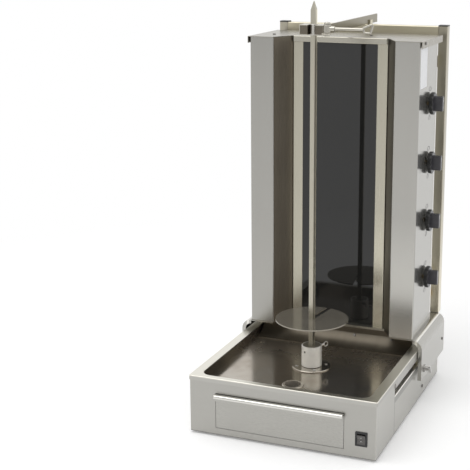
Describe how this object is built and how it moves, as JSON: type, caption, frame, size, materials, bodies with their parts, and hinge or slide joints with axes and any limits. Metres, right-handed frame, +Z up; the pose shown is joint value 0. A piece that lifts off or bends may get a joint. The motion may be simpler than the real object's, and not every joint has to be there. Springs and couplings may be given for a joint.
{
  "type": "vertical rotisserie broiler",
  "caption": "Countertop vertical rotisserie broiler: sliding gas heater with dark glass front, driven square spit with meat disc, drip pan with drain and grease drawer.",
  "frame": {"origin": "on the surface the feet stand on, in the middle of the footprint", "axes": "+Z up along the spit, +X to the right seen from the front, -Y to the front"},
  "size_m": [0.5426, 0.707, 1.056],
  "materials": {
    "satin_steel": "satin",
    "polished_steel": "polished",
    "mast_steel": "satin",
    "spit_steel": "satin",
    "screw_steel": "bright",
    "hub_aluminium": "machined",
    "cast_housing": "cast",
    "black_plastic": "gloss",
    "foot_rubber": "matt",
    "tinted_glass": "polished",
    "burner_metal": "heat-darkened",
    "ceramic": "matt ceramic",
    "gas_brass": "satin"
  },
  "bodies": {
    "base": {"front_shell": "satin_steel", "side_panels": "satin_steel", "rear_panel": "satin_steel", "base_floor": "satin_steel", "guide_rails": "satin_steel", "drip_pan": "polished_steel", "drain_spout": "polished_steel", "motor_flange": "polished_steel", "flange_screws": "screw_steel", "gearbox": "cast_housing", "drive_motor": "cast_housing", "motor_bracket": "satin_steel", "feet": "foot_rubber", "foot_screws": "screw_steel", "drawer_runners": "satin_steel", "switch_bezel": "black_plastic", "inlet_gland": "black_plastic", "base_screws": "screw_steel"},
    "drawer": {"drawer_box": "satin_steel", "drawer_front": "satin_steel"},
    "rocker": {"switch_rocker": "black_plastic"},
    "spit": {"drive_hub": "hub_aluminium", "output_shaft": "spit_steel", "hub_set_screw": "screw_steel", "spit_bar": "spit_steel", "top_journal": "spit_steel"},
    "disc": {"meat_disc": "polished_steel", "disc_collar": "spit_steel"},
    "pin": {"hub_pin": "spit_steel"},
    "heater": {"column_left": "satin_steel", "column_right": "satin_steel", "back_cover": "satin_steel", "lid": "satin_steel", "bottom_plate": "satin_steel", "apron": "satin_steel", "glass_panel": "tinted_glass", "side_trims": "satin_steel", "glass_rails": "satin_steel", "burner_boxes": "burner_metal", "burner_tiles": "ceramic", "injector_pipes": "gas_brass", "gas_valves": "gas_brass", "gas_manifold": "gas_brass", "side_skirts": "satin_steel", "slide_blocks": "mast_steel", "cabinet_screws": "screw_steel", "mast_tubes": "mast_steel", "tube_caps": "black_plastic", "mast_brackets": "satin_steel", "crossbar": "mast_steel"},
    "knob_a": {"knob_1": "black_plastic"},
    "knob_b": {"knob_2": "black_plastic"},
    "knob_c": {"knob_3": "black_plastic"},
    "knob_d": {"knob_4": "black_plastic"},
    "clamp_left": {"clamp_screw_left": "screw_steel"},
    "clamp_right": {"clamp_screw_right": "screw_steel"},
    "arm": {"spit_arm": "mast_steel", "top_bracket": "mast_steel", "latch_pivot": "polished_steel"},
    "latch": {"latch_rod": "polished_steel"}
  },
  "joints": [
    {"name": "drawer_slide", "type": "slide", "parent": "base", "child": "drawer", "axis": [0, -1, 0], "range_m": [0, 0.12]},
    {"name": "switch_rock", "type": "hinge", "parent": "base", "child": "rocker", "pos_m": [0.204, -0.3335, 0.055], "axis": [1, 0, 0], "range_deg": [-16, 0]},
    {"name": "spit_spin", "type": "hinge", "parent": "base", "child": "spit", "pos_m": [0, -0.1165, 0.15], "axis": [0, 0, 1], "continuous": true},
    {"name": "disc_lift", "type": "slide", "parent": "spit", "child": "disc", "axis": [0, 0, 1], "range_m": [0, 0.65]},
    {"name": "pin_pull", "type": "slide", "parent": "spit", "child": "pin", "axis": [0.6428, 0.766, 0], "range_m": [0, 0.02]},
    {"name": "heater_slide", "type": "slide", "parent": "base", "child": "heater", "axis": [0, 1, 0], "range_m": [-0.06, 0]},
    {"name": "arm_slide", "type": "slide", "parent": "heater", "child": "arm", "axis": [0, 1, 0], "range_m": [0, 0.06]},
    {"name": "latch_swing", "type": "hinge", "parent": "arm", "child": "latch", "pos_m": [0.04299, -0.14289, 0.993], "axis": [0, 0, 1], "range_deg": [-180, 0]},
    {"name": "clamp_turn_left", "type": "hinge", "parent": "heater", "child": "clamp_left", "pos_m": [-0.25, 0.0595, 0.094], "axis": [-1, 0, 0], "range_deg": [0, 270]},
    {"name": "clamp_turn_right", "type": "hinge", "parent": "heater", "child": "clamp_right", "pos_m": [0.25, 0.0595, 0.094], "axis": [1, 0, 0], "range_deg": [0, 270]},
    {"name": "valve_turn_1", "type": "hinge", "parent": "heater", "child": "knob_a", "pos_m": [0.23, 0.1425, 0.3205], "axis": [1, 0, 0], "range_deg": [0, 180]},
    {"name": "valve_turn_2", "type": "hinge", "parent": "heater", "child": "knob_b", "pos_m": [0.23, 0.1425, 0.4757], "axis": [1, 0, 0], "range_deg": [0, 180]},
    {"name": "valve_turn_3", "type": "hinge", "parent": "heater", "child": "knob_c", "pos_m": [0.23, 0.1425, 0.6309], "axis": [1, 0, 0], "range_deg": [0, 180]},
    {"name": "valve_turn_4", "type": "hinge", "parent": "heater", "child": "knob_d", "pos_m": [0.23, 0.1425, 0.7861], "axis": [1, 0, 0], "range_deg": [0, 180]}
  ],
  "couplings": [
    {"joint": "arm_slide", "follows": "heater_slide", "ratio": -1}
  ]
}
